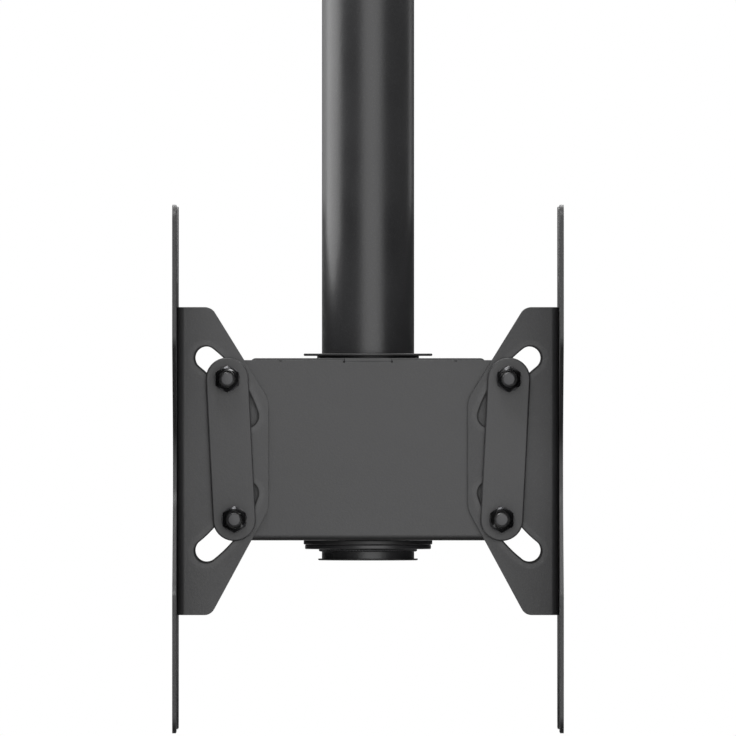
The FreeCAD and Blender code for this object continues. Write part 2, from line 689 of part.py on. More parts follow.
# Screen plate: flat sheet with four arms, holes and slots for the screen's screws
def make_screen_plate():
    body = new_body("left_screen_plate")
    outline = new_sketch(body, "outline", "YZ_Plane", FACE_X)
    quarter_turns = [("", "+"), ("-", "+"), ("-", "-"), ("", "-")]
    side_reach = f"({PLATE_HALF} - dims.side_waist_depth)"
    end_reach = f"({PLATE_HALF} - dims.end_waist_depth)"
    arm_start = f"({PLATE_HALF} - dims.arm_width)"
    side_waists = [(side_reach, PLATE_Z), (f"-{side_reach}", PLATE_Z)]
    end_waists = [("0", f"{PLATE_Z} + {end_reach}"), ("0", f"{PLATE_Z} - {end_reach}")]
    waists = [side_waists[0], end_waists[0], side_waists[1], end_waists[1]]
    points = []
    arm_corners = []
    for number, (side, rise) in enumerate(quarter_turns):
        side_point = (f"{side}{PLATE_HALF}", f"{PLATE_Z} {rise} {arm_start}")
        corner = (f"{side}{PLATE_HALF}", f"{PLATE_Z} {rise} {PLATE_HALF}")
        end_point = (f"{side}{arm_start}", f"{PLATE_Z} {rise} {PLATE_HALF}")
        arm = [side_point, corner, end_point]
        if number % 2 == 1:
            arm.reverse()
        points.append(waists[number])
        points.extend(arm)
        arm_corners.extend(arm)
    draw_polygon(outline, points)

    for side, rise in quarter_turns:
        for half_width, half_height in (
            ("dims.wide_pattern / 2", "dims.wide_pattern / 2"),
            ("dims.wide_pattern / 2", "dims.middle_pattern / 2"),
            ("dims.middle_pattern / 2", "dims.wide_pattern / 2"),
            ("dims.middle_pattern / 2", "dims.middle_pattern / 2"),
            ("dims.small_pattern / 2", "dims.small_pattern / 2"),
        ):
            draw_circle(outline, f"{side}{half_width}", f"{PLATE_Z} {rise} {half_height}",
                        "dims.screen_hole_radius")
        for inner, outer in (
            ("dims.small_pattern / 2", "dims.middle_pattern / 2"),
            ("dims.middle_pattern / 2", "dims.wide_pattern / 2"),
        ):
            start = f"({inner} + dims.slot_margin)"
            end = f"({outer} - dims.slot_margin)"
            draw_band(outline, [
                (f"{side}{start}", f"{PLATE_Z} {rise} {start}"),
                (f"{side}{end}", f"{PLATE_Z} {rise} {end}"),
            ], "dims.screen_hole_radius")
    draw_circle(outline, "0", PLATE_Z, "dims.web_window")
    pad(body, outline, "dims.plate_sheet")
    round_edges(body, ALONG_X, [(FACE_X, *corner) for corner in arm_corners],
                "dims.arm_corner")
    round_edges(body, ALONG_X, [(FACE_X, *waist) for waist in waists], "dims.waist_corner")

    for number, (across, up) in enumerate(plate_screw_places(), start=1):
        hole = new_sketch(body, f"screw_hole_{number}", "YZ_Plane", FACE_X)
        clear = "dims.bolt_clearance"
        draw_circle(hole, across, up, f"2 * dims.plate_screw_radius + {clear}")
        sink = pocket(body, hole, "dims.plate_sheet", backwards=True)
        sink.TaperAngle = -45
        doc.recompute()
    return body


# Fasteners are drawn standing on the origin, then laid along Y or X where they belong
def lay_along(body, turn, x, y, z):
    """Turn a piece drawn along +Z so that it points outwards, and put it in place."""
    body.Placement = FreeCAD.Placement(FreeCAD.Vector(), turn)
    for name, expression in (("x", x), ("y", y), ("z", z)):
        body.setExpression(f"Placement.Base.{name}", expression)
    doc.recompute()


OUT_OF_NEAR_CHEEK = FreeCAD.Rotation(ALONG_X, 90)
OUT_OF_SCREEN_PLATE = FreeCAD.Rotation(ALONG_Y, 90)


def mirrored(source, label, normal):
    copy = doc.addObject("Part::Mirroring", label)
    copy.Label = label
    copy.Source = source
    copy.Normal = normal
    doc.recompute()
    return copy


def fastener_group(label, near_pieces):
    """Near pieces and their mirror images beyond the pole, as separate solids."""
    far = [mirrored(piece, f"{piece.Label}_far", ALONG_Y) for piece in near_pieces]
    group = doc.addObject("Part::Compound", label)
    group.Label = label
    group.Links = near_pieces + far
    doc.recompute()
    return group


# Tilt bolt: low domed head inside the cheek, square neck, shank with a bevelled end
def make_tilt_bolt(label):
    body = new_body(label)
    shank_end = f"({NUT_OUT} - {CHEEK_IN} + dims.bolt_end)"
    profile = new_sketch(body, "profile", "XZ_Plane")
    draw_polygon(profile, [
        ("0", "-dims.head_height"),
        ("dims.head_crown_radius", "-dims.head_height"),
        ("dims.head_shoulder_radius", "-dims.head_shoulder_height"),
        ("dims.head_radius", "-dims.head_rim_height"),
        ("dims.head_radius", "0"),
        ("dims.bolt_radius", "0"),
        ("dims.bolt_radius", f"{shank_end} - dims.bolt_end_chamfer"),
        ("dims.bolt_radius - dims.bolt_end_chamfer", shank_end),
        ("0", shank_end),
    ])
    revolve(body, profile)
    neck = new_sketch(body, "neck", "XY_Plane")
    half = "dims.neck_half_width"
    draw_rectangle(neck, f"-{half}", half, f"-{half}", half)
    pad(body, neck, "dims.housing_sheet")
    return body


# Lock nut: hexagon with its outer corners bevelled, and a round collar that holds a plastic ring
def make_nut(label, flats, height, hole, bevel, collar="0", collar_radius="0"):
    body = new_body(label)
    corner = f"({flats} / 2 / cos(30))"
    shoulder = f"({height} - {collar})"
    outline = new_sketch(body, "outline", "XY_Plane")
    draw_polygon(outline, hexagon("0", "0", corner))
    pad(body, outline, shoulder)
    bevels = new_sketch(body, "bevels", "XZ_Plane")
    draw_polygon(bevels, [
        (f"{corner} - {bevel}", shoulder),
        (f"{corner} + {bevel}", f"{shoulder} - {bevel}"),
        (f"{corner} + {bevel}", shoulder),
    ])
    groove = body.newObject("PartDesign::Groove", f"{label}_bevel_cut")
    groove.Profile = bevels
    groove.ReferenceAxis = (bevels, ["V_Axis"])
    groove.Angle = 360
    doc.recompute()
    if size(collar) > 0:
        ring = new_sketch(body, "collar", "XZ_Plane")
        draw_polygon(ring, [
            (hole, f"{shoulder} - {bevel}"),
            (collar_radius, f"{shoulder} - {bevel}"),
            (collar_radius, f"{height} - {bevel}"),
            (f"{collar_radius} - {bevel} / 2", height),
            (hole, height),
        ])
        revolve(body, ring)
    thread = new_sketch(body, "thread", "XY_Plane")
    draw_circle(thread, "0", "0", hole)
    pocket(body, thread, height, backwards=True)
    return body


# Slot bush: plastic ring in the arc slot, with a flange against the cheek
def make_slot_bush(label):
    body = new_body(label)
    profile = new_sketch(body, "profile", "XZ_Plane")
    barrel_end = "(dims.washer_thickness + dims.yoke_sheet - dims.bush_slack)"
    barrel = "(dims.slot_half_width - dims.bush_side_gap)"
    draw_polygon(profile, [
        (BOLT_HOLE, "0"),
        ("dims.washer_radius", "0"),
        ("dims.washer_radius", "dims.washer_thickness"),
        (barrel, "dims.washer_thickness"),
        (barrel, barrel_end),
        (BOLT_HOLE, barrel_end),
    ])
    revolve(body, profile)
    return body


# Flat friction washer between the wing and the clamp bar
def make_friction_washer(label):
    body = new_body(label)
    section = new_sketch(body, "section", "XY_Plane")
    draw_circle(section, "0", "0", "dims.washer_radius")
    draw_circle(section, "0", "0", BOLT_HOLE)
    pad(body, section, "dims.washer_thickness")
    return body


# Split spring washer under the nut
def make_spring_washer(label):
    body = new_body(label)
    section = new_sketch(body, "section", "XY_Plane")
    draw_circle(section, "0", "0", "dims.spring_washer_radius")
    draw_circle(section, "0", "0", BOLT_HOLE)
    pad(body, section, "dims.spring_washer_thickness")
    split = new_sketch(body, "split", "XY_Plane")
    half = "dims.spring_washer_split / 2"
    draw_rectangle(split, "0", "2 * dims.spring_washer_radius", f"-{half}", half)
    pocket(body, split, "dims.spring_washer_thickness", backwards=True)
    return body


# Countersunk screw, flush with the screen plate's face
def make_plate_screw(label):
    body = new_body(label)
    through = "dims.plate_sheet + dims.yoke_sheet + dims.plate_nut_height"
    shank_end = f"({through} + dims.plate_screw_end)"
    profile = new_sketch(body, "profile", "XZ_Plane")
    draw_polygon(profile, [
        ("0", "0"),
        ("2 * dims.plate_screw_radius", "0"),
        ("dims.plate_screw_radius", "dims.plate_sheet"),
        ("dims.plate_screw_radius", shank_end),
        ("0", shank_end),
    ])
    revolve(body, profile)
    drive = new_sketch(body, "drive", "XY_Plane")
    draw_polygon(drive, hexagon("0", "0", "dims.plate_drive_radius"))
    pocket(body, drive, "dims.plate_drive_depth", backwards=True)
    return body


TILT_BOLTS = [("upper", UPPER_BOLT_X, UPPER_BOLT_Z), ("lower", LOWER_BOLT_X, LOWER_BOLT_Z)]


def tilt_hardware(label, group_label, make, distance):
    """One kind of piece on all four tilt bolts of the left side, distance from the pole."""
    pieces = []
    for height, x, z in TILT_BOLTS:
        piece = make(f"{height}_{label}")
        lay_along(piece, OUT_OF_NEAR_CHEEK, x, f"-{distance}", z)
        pieces.append(piece)
    return fastener_group(group_label, pieces)


def plate_hardware(label, group_label, make, x):
    """One kind of piece on all four screws of the left screen plate."""
    pieces = []
    for number, (across, up) in enumerate(plate_screw_places()[:2], start=1):
        piece = make(f"{label}_{number}")
        lay_along(piece, OUT_OF_SCREEN_PLATE, x, across, up)
        pieces.append(piece)
    return fastener_group(group_label, pieces)


def make_tilt_nut(label):
    return make_nut(label, "dims.nut_flats", "dims.nut_height", BOLT_HOLE, "dims.nut_chamfer",
                    "dims.nut_collar", "dims.nut_collar_radius")


def make_plate_nut(label):
    return make_nut(label, "dims.plate_nut_flats", "dims.plate_nut_height",
                    "dims.plate_screw_radius + dims.bolt_clearance / 2", "dims.nut_chamfer / 2")


pole = [make_pole_tube(), make_support_ring(), make_pole_end_cap()]
housing = [
    make_housing_channel(),
    make_housing_top_plate(),
    make_housing_sleeve(),
    make_bushing("upper_bushing", SLEEVE_TOP, f"({SLEEVE_TOP} + dims.upper_flange)",
                 f"({SLEEVE_TOP} - dims.bush_length)"),
    make_bushing("lower_bushing", HOUSING_BOTTOM, RING_TOP,
                 f"({HOUSING_BOTTOM} + dims.bush_length)"),
    make_swivel_lock_boss(),
    make_swivel_lock_screw(),
]
near_bar = make_clamp_bar()
far_bar = mirrored(near_bar, "far_left_clamp_bar", ALONG_Y)
left_pieces = [
    near_bar,
    far_bar,
    tilt_hardware("tilt_bolt", "left_tilt_bolts", make_tilt_bolt, CHEEK_IN),
    tilt_hardware("slot_bush", "left_slot_bushes", make_slot_bush, CHEEK_OUT),
    tilt_hardware("friction_washer", "left_friction_washers", make_friction_washer, WING_OUT),
    tilt_hardware("spring_washer", "left_spring_washers", make_spring_washer, BAR_OUT),
    tilt_hardware("tilt_nut", "left_tilt_nuts", make_tilt_nut, NUT_IN),
    make_yoke(),
    make_screen_plate(),
    plate_hardware("plate_screw", "left_plate_screws", make_plate_screw, FACE_X),
    plate_hardware("plate_nut", "left_plate_nuts", make_plate_nut, WEB_BACK_X),
]
right_pieces = [
    mirrored(piece, piece.Label.replace("left", "right"), ALONG_X) for piece in left_pieces
]
doc.recompute()

for item in doc.Objects:
    if "Invalid" in item.State or "Error" in item.State:
        raise RuntimeError(f"{item.Name} did not recompute: {item.State}")
os.makedirs("parts", exist_ok=True)
for piece in pole + housing + left_pieces + right_pieces:
    if piece.Shape.isNull() or not piece.Shape.isValid():
        raise RuntimeError(f"{piece.Label} has no valid shape")
    piece.Shape.exportStep(f"parts/{piece.Label}.step")
    print(piece.Label, len(piece.Shape.Solids), round(piece.Shape.Volume))
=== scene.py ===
import json
import math

import bpy
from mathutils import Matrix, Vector


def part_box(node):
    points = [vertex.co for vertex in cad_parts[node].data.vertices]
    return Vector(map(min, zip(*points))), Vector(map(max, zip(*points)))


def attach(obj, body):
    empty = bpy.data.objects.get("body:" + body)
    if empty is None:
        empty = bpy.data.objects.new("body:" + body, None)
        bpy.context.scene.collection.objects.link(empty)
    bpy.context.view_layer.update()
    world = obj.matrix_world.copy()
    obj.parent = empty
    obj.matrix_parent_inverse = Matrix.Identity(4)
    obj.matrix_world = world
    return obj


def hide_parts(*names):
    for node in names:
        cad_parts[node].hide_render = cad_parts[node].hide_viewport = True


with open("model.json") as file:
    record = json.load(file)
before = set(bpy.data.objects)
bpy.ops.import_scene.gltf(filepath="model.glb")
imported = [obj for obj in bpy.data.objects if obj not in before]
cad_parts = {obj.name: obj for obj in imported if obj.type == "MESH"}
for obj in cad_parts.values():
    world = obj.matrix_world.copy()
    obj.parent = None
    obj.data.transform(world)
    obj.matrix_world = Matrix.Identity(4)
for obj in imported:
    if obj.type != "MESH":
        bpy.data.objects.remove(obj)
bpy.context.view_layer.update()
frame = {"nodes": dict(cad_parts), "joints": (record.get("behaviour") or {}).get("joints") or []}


# Pole: round steel tube, 76 mm across with a 3 mm wall, cut square, its top end bored a
# little wider for a spigot. It is rolled from strip, so a low seam runs down the bore below.
def pick_only(*pieces):
    """Leave only these objects selected, the first of them active."""
    bpy.ops.object.select_all(action="DESELECT")
    for piece in pieces:
        piece.select_set(True)
    bpy.context.view_layer.objects.active = pieces[0]


def fill(tree, socket, value):
    """Give a shader socket a plain value, or link another node's output to it."""
    if isinstance(value, bpy.types.NodeSocket):
        tree.links.new(value, socket)
    else:
        socket.default_value = value


def add(tree, kind, settings=None, **inputs):
    """Add one shader node; each input gets a plain value or another node's output."""
    node = tree.nodes.new(kind)
    for key, value in (settings or {}).items():
        setattr(node, key, value)
    for key, value in inputs.items():
        fill(tree, node.inputs[key.replace("_", " ")], value)
    return node


def combine(tree, operation, *values):
    """Math node over values or other nodes' outputs."""
    node = add(tree, "ShaderNodeMath", {"operation": operation})
    for socket, value in zip(node.inputs, values):
        fill(tree, socket, value)
    return node.outputs["Value"]


def spread(tree, value, low, high, to_low, to_high):
    """Stretch the range low to high of a value over another range, and clip it there."""
    node = add(tree, "ShaderNodeMapRange", Value=value, From_Min=low, From_Max=high,
               To_Min=to_low, To_Max=to_high)
    return node.outputs["Result"]


def blend_colours(tree, share, first, second):
    """Go from the first colour to the second as share goes from 0 to 1."""
    node = add(tree, "ShaderNodeMix", {"data_type": "RGBA"})
    share_socket, first_socket, second_socket = node.inputs[0], node.inputs[6], node.inputs[7]
    fill(tree, share_socket, share)
    for socket, colour in ((first_socket, first), (second_socket, second)):
        fill(tree, socket, (*colour, 1.0) if isinstance(colour, tuple) else colour)
    return node.outputs[2]


def noise(tree, place, scale, detail):
    """Soft noise from 0 to 1, with scale blots to the metre."""
    node = add(tree, "ShaderNodeTexNoise", Vector=place, Scale=scale, Detail=detail)
    return node.outputs["Fac"]


def edge_share(tree, reach):
    """1 on the edges of the piece, 0 further than reach away from them."""
    flat = 0.995
    corner = 0.86
    rounded = add(tree, "ShaderNodeBevel", {"samples": 6}, Radius=reach)
    straight = add(tree, "ShaderNodeNewGeometry")
    match = add(tree, "ShaderNodeVectorMath", {"operation": "DOT_PRODUCT"})
    fill(tree, match.inputs[0], rounded.outputs["Normal"])
    fill(tree, match.inputs[1], straight.outputs["Normal"])
    return spread(tree, match.outputs["Value"], flat, corner, 0.0, 1.0)


def new_finish(name):
    """Empty material, with its node tree and the place on the piece."""
    finish = bpy.data.materials.new(name)
    finish.use_nodes = True
    tree = finish.node_tree
    tree.nodes.clear()
    return finish, tree, add(tree, "ShaderNodeTexCoord")


def close_finish(tree, colour, roughness, relief, metal=0.0):
    """Join the last values of a material to its surface."""
    surface = add(tree, "ShaderNodeBsdfPrincipled", Base_Color=colour, Roughness=roughness,
                  Metallic=metal, Normal=relief)
    add(tree, "ShaderNodeOutputMaterial", Surface=surface.outputs["BSDF"])


def powder_coat(name, shade, gloss, wear_and_shadow=None):
    """Satin black powder coat: orange peel, uneven gloss, rubbed edges and a little dust.

    Undersides are painted a deeper black, as painted shade. The last argument adds one piece's own
    marks and painted shadow.
    """
    speck_grey = (0.07, 0.07, 0.073)
    rubbed_grey = (0.13, 0.13, 0.135)
    dust_grey = (0.16, 0.155, 0.145)
    underside_shade_black = (0.006, 0.006, 0.006)
    finish, tree, where = new_finish(name)
    place = where.outputs["Object"]
    cloud = noise(tree, place, scale=11.0, detail=2.0)
    grain = noise(tree, place, scale=1500.0, detail=2.0)
    peel = noise(tree, place, scale=520.0, detail=3.0)
    dark = tuple(channel * 0.7 for channel in shade)
    light = tuple(channel * 1.3 for channel in shade)
    colour = blend_colours(tree, spread(tree, cloud, 0.2, 0.8, 0.0, 1.0), dark, light)
    colour = blend_colours(tree, spread(tree, grain, 0.52, 0.72, 0.0, 0.3), colour, speck_grey)
    scuffs = spread(tree, noise(tree, place, scale=70.0, detail=6.0), 0.46, 0.62, 0.0, 0.35)
    rubbed = combine(tree, "MULTIPLY", edge_share(tree, 0.0009), scuffs)
    colour = blend_colours(tree, rubbed, colour, rubbed_grey)
    facing = add(tree, "ShaderNodeSeparateXYZ", Vector=where.outputs["Normal"])
    settled = spread(tree, facing.outputs["Z"], 0.55, 1.0, 0.0, 1.0)
    patches = spread(tree, noise(tree, place, scale=55.0, detail=7.0), 0.35, 0.8, 0.03, 0.16)
    dust = combine(tree, "MULTIPLY", settled, patches)
    colour = blend_colours(tree, dust, colour, dust_grey)
    # Painted shade: faces that look down are painted a deeper black.
    underside_shade = spread(tree, facing.outputs["Z"], -0.2, -0.7, 0.0, 0.8)
    colour = blend_colours(tree, underside_shade, colour, underside_shade_black)
    roughness = spread(tree, cloud, 0.2, 0.8, gloss - 0.02, gloss + 0.08)
    roughness = combine(tree, "MULTIPLY_ADD", dust, 0.6, roughness)
    if wear_and_shadow:
        colour, roughness = wear_and_shadow(tree, place, colour, roughness)
    relief = add(tree, "ShaderNodeBump", Strength=0.19, Distance=0.0004, Height=peel)
    relief = add(tree, "ShaderNodeBump", Strength=0.1, Distance=0.0001, Height=grain,
                 Normal=relief.outputs["Normal"])
    close_finish(tree, colour, roughness, relief.outputs["Normal"])
    return finish


def coat(piece, finish):
    """Give the whole piece one finish."""
    piece.data.materials.clear()
    piece.data.materials.append(finish)


def hand_over(piece, body, slot, *nodes):
    """Hang the finished piece on its body and hide the imported nodes it stands for; slot is not
    used.
    """
    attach(piece, body)
    if nodes:
        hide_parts(*nodes)


def smooth(piece):
    """Smooth shading with crisp edges, and flat faces kept flat."""
    pick_only(piece)
    bpy.ops.object.shade_smooth_by_angle(angle=math.radians(32))
    faces = piece.modifiers.new("faces", "WEIGHTED_NORMAL")
    faces.keep_sharp = True
    faces.weight = 100
    bpy.ops.object.modifier_apply(modifier="faces")


def soften(node, body, edge, finish, slot="black_powder_coat"):
    """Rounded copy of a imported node: its sharp edges get a small radius, edge, all round."""
    piece = bpy.data.objects.new(f"{node}_rounded", frame["nodes"][node].data.copy())
    bpy.context.collection.objects.link(piece)
    pick_only(piece)
    bpy.ops.mesh.customdata_custom_splitnormals_clear()
    bpy.ops.object.mode_set(mode="EDIT")
    bpy.ops.mesh.select_all(action="SELECT")
    bpy.ops.mesh.remove_doubles(threshold=0.000005)
    bpy.ops.mesh.dissolve_limited(angle_limit=math.radians(0.3))
    bpy.ops.object.mode_set(mode="OBJECT")
    edges = piece.modifiers.new("edges", "BEVEL")
    edges.width = edge
    edges.segments = 2
    edges.limit_method = "ANGLE"
    edges.angle_limit = math.radians(38)
    edges.miter_outer = "MITER_ARC"
    bpy.ops.object.modifier_apply(modifier="edges")
    smooth(piece)
    coat(piece, finish)
    hand_over(piece, body, slot, node)


pole_coat = powder_coat("pole_coat", shade=(0.021, 0.021, 0.022), gloss=0.3)
soften("pole_tube", "pole", edge=0.0004, finish=pole_coat)

pole_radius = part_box("pole_tube")[1][0]
pole_wall = 0.003
socket_depth = 0.060
seam_radius = 0.0012
seam_height = 0.0005
seam_top = -socket_depth - 0.002
seam_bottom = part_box("pole_end_cap")[1][2] + 0.006
seam_reach = pole_radius - pole_wall - seam_height + seam_radius
bpy.ops.mesh.primitive_cylinder_add(vertices=12, radius=seam_radius,
                                    depth=seam_top - seam_bottom,
                                    location=(0, seam_reach, (seam_top + seam_bottom) / 2))
bore_seam = bpy.context.object
bore_seam.name = "pole_bore_seam"
bpy.ops.object.mode_set(mode="EDIT")
bpy.ops.mesh.select_all(action="SELECT")
bpy.ops.mesh.bevel(offset=0.0004, segments=2, affect="EDGES")
bpy.ops.object.mode_set(mode="OBJECT")
bpy.ops.object.transform_apply(location=True, rotation=True, scale=True)
smooth(bore_seam)
coat(bore_seam, pole_coat)
hand_over(bore_seam, "pole", "black_powder_coat")


# Support ring: 3.8 mm steel ring on the pole's end, held by a weld bead below it.
# Bead: overlapping ripples of weld metal, coated with the pole.
def bead(name, centre, radius, ripples, width, finish, body, axis=(0, 0, 1)):
    """Ring of weld ripples about an axis through centre, each flattened along the ring."""
    bpy.ops.mesh.primitive_uv_sphere_add(segments=14, ring_count=8, radius=width / 2)
    piece = bpy.context.object
    piece.name = name
    bpy.ops.object.mode_set(mode="EDIT")
    bpy.ops.mesh.select_all(action="SELECT")
    step = 2 * math.pi * radius / ripples
    lean = 1.9 * step / width
    bpy.ops.transform.resize(value=(1.0, lean, 0.8) if axis[2] else (1.0, 0.8, lean))
    bpy.ops.transform.translate(value=(radius, 0, 0))
    bpy.ops.mesh.spin(steps=ripples, angle=2 * math.pi, dupli=True, center=(0, 0, 0), axis=axis)
    bpy.ops.mesh.select_all(action="SELECT")
    bpy.ops.mesh.remove_doubles(threshold=0.000001)
    bpy.ops.transform.translate(value=centre)
    bpy.ops.object.mode_set(mode="OBJECT")
    bpy.ops.object.transform_apply(location=True, rotation=True, scale=True)
    smooth(piece)
    coat(piece, finish)
    hand_over(piece, body, "black_powder_coat")


soften("support_ring", "pole", edge=0.0003, finish=pole_coat)
ring_weld_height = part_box("support_ring")[0][2] + 0.0012
bead("support_ring_weld", (0, 0, ring_weld_height), pole_radius + 0.0009, ripples=96,
     width=0.0032, finish=pole_coat, body="pole")


# Pole end cap: moulded black nylon insert with a thin lip, its fins a tight fit in the bore.
# It is pressed up into the tube until the lip seats on the cut end.
def nylon(name):
    """Moulded black nylon: fine spark texture, slightly uneven gloss."""
    finish, tree, where = new_finish(name)
    place = where.outputs["Object"]
    cloud = noise(tree, place, scale=40.0, detail=4.0)
    spark = noise(tree, place, scale=1900.0, detail=3.0)
    colour = blend_colours(tree, cloud, (0.012, 0.012, 0.012), (0.022, 0.022, 0.023))
    rubbed = combine(tree, "MULTIPLY", edge_share(tree, 0.0006), 0.35)
    colour = blend_colours(tree, rubbed, colour, (0.05, 0.05, 0.052))
    roughness = spread(tree, cloud, 0.3, 0.7, 0.42, 0.54)
    relief = add(tree, "ShaderNodeBump", Strength=0.2, Distance=0.0002, Height=spark)
    close_finish(tree, colour, roughness, relief.outputs["Normal"])
    return finish


black_nylon = nylon("black_nylon")
soften("pole_end_cap", "pole", edge=0.0003, finish=black_nylon, slot="black_plastic")

# Housing channel: 3 mm sheet folded to two cheeks and a floor, relief cuts at the folds' ends.
# Coated with the top plate and the sleeve after they are welded together.
sheet = 0.003
channel_low, channel_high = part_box("housing_channel")
cheek_outside = channel_high[1]
cheek_inside = cheek_outside - sheet
sheet_coat = powder_coat("sheet_coat", shade=(0.031, 0.031, 0.032), gloss=0.4)
soften("housing_channel", "head", edge=0.0004, finish=sheet_coat)

# Housing top plate: 3 mm sheet with both ends folded down to short lips, and a tab that drops
# into a notch in each cheek's top edge. It closes the housing's top and is welded in.
soften("housing_top_plate", "head", edge=0.0004, finish=sheet_coat)

# Housing sleeve: round steel tube with a 2 mm wall, through the floor and the top plate.
# A weld bead runs round it on the floor, and another one under the top plate.
weld_reach = 0.00095
weld_height = 0.001
sleeve_weld_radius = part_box("housing_sleeve")[1][0] + weld_reach
soften("housing_sleeve", "head", edge=0.0003, finish=sheet_coat)
for name, height in (
        ("floor_weld", channel_low[2] + sheet + weld_height),
        ("top_plate_weld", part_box("housing_top_plate")[1][2] - sheet - weld_height)):
    bead(name, (0, 0, height), sleeve_weld_radius, ripples=104, width=0.0036,
         finish=sheet_coat, body="head")

# Bushings: turned black nylon with a wide flange, pressed into the sleeve's two ends.
# The lower flange runs on the support ring and carries the head's weight.
for node in ("upper_bushing", "lower_bushing"):
    soften(node, "head", edge=0.0002, finish=black_nylon, slot="black_plastic")

# Swivel lock boss: short round steel boss, tapped right through, inside the far cheek.
# A weld bead runs round its foot on the cheek.
joint_places = {joint["child"]: joint["pos_m"] for joint in frame["joints"]}
tilt_height = joint_places["right_bracket"][2]
soften("swivel_lock_boss", "head", edge=0.0003, finish=sheet_coat)
bead("boss_weld", (0, cheek_inside - weld_reach, tilt_height),
     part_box("swivel_lock_boss")[1][0] + 0.0006, ripples=34, width=0.0028, finish=sheet_coat,
     body="head", axis=(0, 1, 0))


# Swivel lock screw: M10 hexagon screw of blackened steel, through the far cheek and the boss.
# Its tip ends just off the pole, and is turned in against it to hold the head at an angle.
def black_zinc(name, dark, light, metal, gloss):
    """Steel with a thin black zinc finish, rubbed to bare metal on the corners."""
    bare_steel = (0.22, 0.215, 0.205)
    finish, tree, where = new_finish(name)
    place = where.outputs["Object"]
    cloud = noise(tree, place, scale=90.0, detail=5.0)
    pits = noise(tree, place, scale=1300.0, detail=3.0)
    colour = blend_colours(tree, cloud, dark, light)
    scuffs = spread(tree, noise(tree, place, scale=240.0, detail=5.0), 0.42, 0.6, 0.0, 0.6)
    worn = combine(tree, "MULTIPLY", edge_share(tree, 0.0005), scuffs)
    colour = blend_colours(tree, worn, colour, bare_steel)
    roughness = spread(tree, cloud, 0.3, 0.7, gloss - 0.04, gloss + 0.05)
    relief = add(tree, "ShaderNodeBump", Strength=0.12, Distance=0.0002, Height=pits)
    close_finish(tree, colour, roughness, relief.outputs["Normal"], metal)
    return finish


def outline(name, points, closed=False):
    """Object of edges along points of radius and height, in the plane of X and Z."""
    last = len(points) if closed else len(points) - 1
    mesh = bpy.data.meshes.new(name)
    mesh.from_pydata([(across, 0, up) for across, up in points],
                     [(i, (i + 1) % len(points)) for i in range(last)], [])
    piece = bpy.data.objects.new(name, mesh)
    bpy.context.collection.objects.link(piece)
    pick_only(piece)
    return piece


def turned(name, profile, steps=64):
    """Solid of revolution about Z from a list of radius and height, closed where it meets Z."""
    piece = outline(name, profile)
    bpy.ops.object.mode_set(mode="EDIT")
    bpy.ops.mesh.select_all(action="SELECT")
    bpy.ops.mesh.spin(steps=steps, angle=2 * math.pi, center=(0, 0, 0), axis=(0, 0, 1))
    bpy.ops.mesh.select_all(action="SELECT")
    bpy.ops.mesh.remove_doubles(threshold=0.000002)
    bpy.ops.mesh.normals_make_consistent(inside=False)
    bpy.ops.object.mode_set(mode="OBJECT")
    return piece


def coiled(name, section, pitch, turns, steps, angle=360, closed=False):
    """Solid wound about Z: its section rises by pitch in each turn, and both ends are closed."""
    piece = outline(name, section, closed)
    helix = piece.modifiers.new("helix", "SCREW")
    helix.axis = "Z"
    helix.steps = steps
    helix.render_steps = steps
    helix.screw_offset = pitch
    helix.iterations = turns
    helix.angle = math.radians(angle)
    bpy.ops.object.modifier_apply(modifier="helix")
    bpy.ops.object.mode_set(mode="EDIT")
    bpy.ops.mesh.select_all(action="SELECT")
    bpy.ops.mesh.fill_holes(sides=8)
    bpy.ops.mesh.normals_make_consistent(inside=False)
    bpy.ops.object.mode_set(mode="OBJECT")
    return piece


def thread(radius, pitch, low, high, steps=40):
    """Helical ridge with a narrow flat crest round a shank along Z, from low to high."""
    root = radius - 0.6 * pitch
    shoulder = radius - 0.08 * pitch
    ridge = [(root, low), (shoulder, low + 0.40 * pitch), (radius, low + 0.44 * pitch),
             (radius, low + 0.54 * pitch), (shoulder, low + 0.58 * pitch),
             (root, low + 0.98 * pitch)]
    return coiled("thread", ridge, pitch, round((high - low) / pitch) - 1, steps)


def cut_with(piece, tool, operation):
    """Cut the piece with a solid tool, or keep only what lies in it, and clear the tool away."""
    pick_only(piece)
    cut = piece.modifiers.new("cut", "BOOLEAN")
    cut.object = tool
    cut.operation = operation
    cut.solver = "EXACT"
    bpy.ops.object.modifier_apply(modifier="cut")
    bpy.data.objects.remove(tool)


def cut_to_hexagon(piece, flats, low, high):
    """Keep only what lies in a hexagonal bar along Z, one corner towards Y."""
    bpy.ops.mesh.primitive_cylinder_add(vertices=6, radius=flats / 2 / math.cos(math.radians(30)),
                                        depth=high - low, location=(0, 0, (high + low) / 2))
    cut_with(piece, bpy.context.object, "INTERSECT")


def join(name, *pieces):
    """Make one piece of several, named and shaded."""
    pick_only(*pieces)
    if len(pieces) > 1:
        bpy.ops.object.join()
    pieces[0].name = name
    smooth(pieces[0])
    return pieces[0]


def lay(master, name, place, turn, finish, body, slot, node):
    """Copy of a finished piece with its own mesh, turned and moved to its place."""
    piece = bpy.data.objects.new(name, master.data.copy())
    bpy.context.collection.objects.link(piece)
    piece.location = place
    piece.rotation_euler = turn
    pick_only(piece)
    bpy.ops.object.transform_apply(location=True, rotation=True, scale=True)
    coat(piece, finish)
    hand_over(piece, body, slot, node)


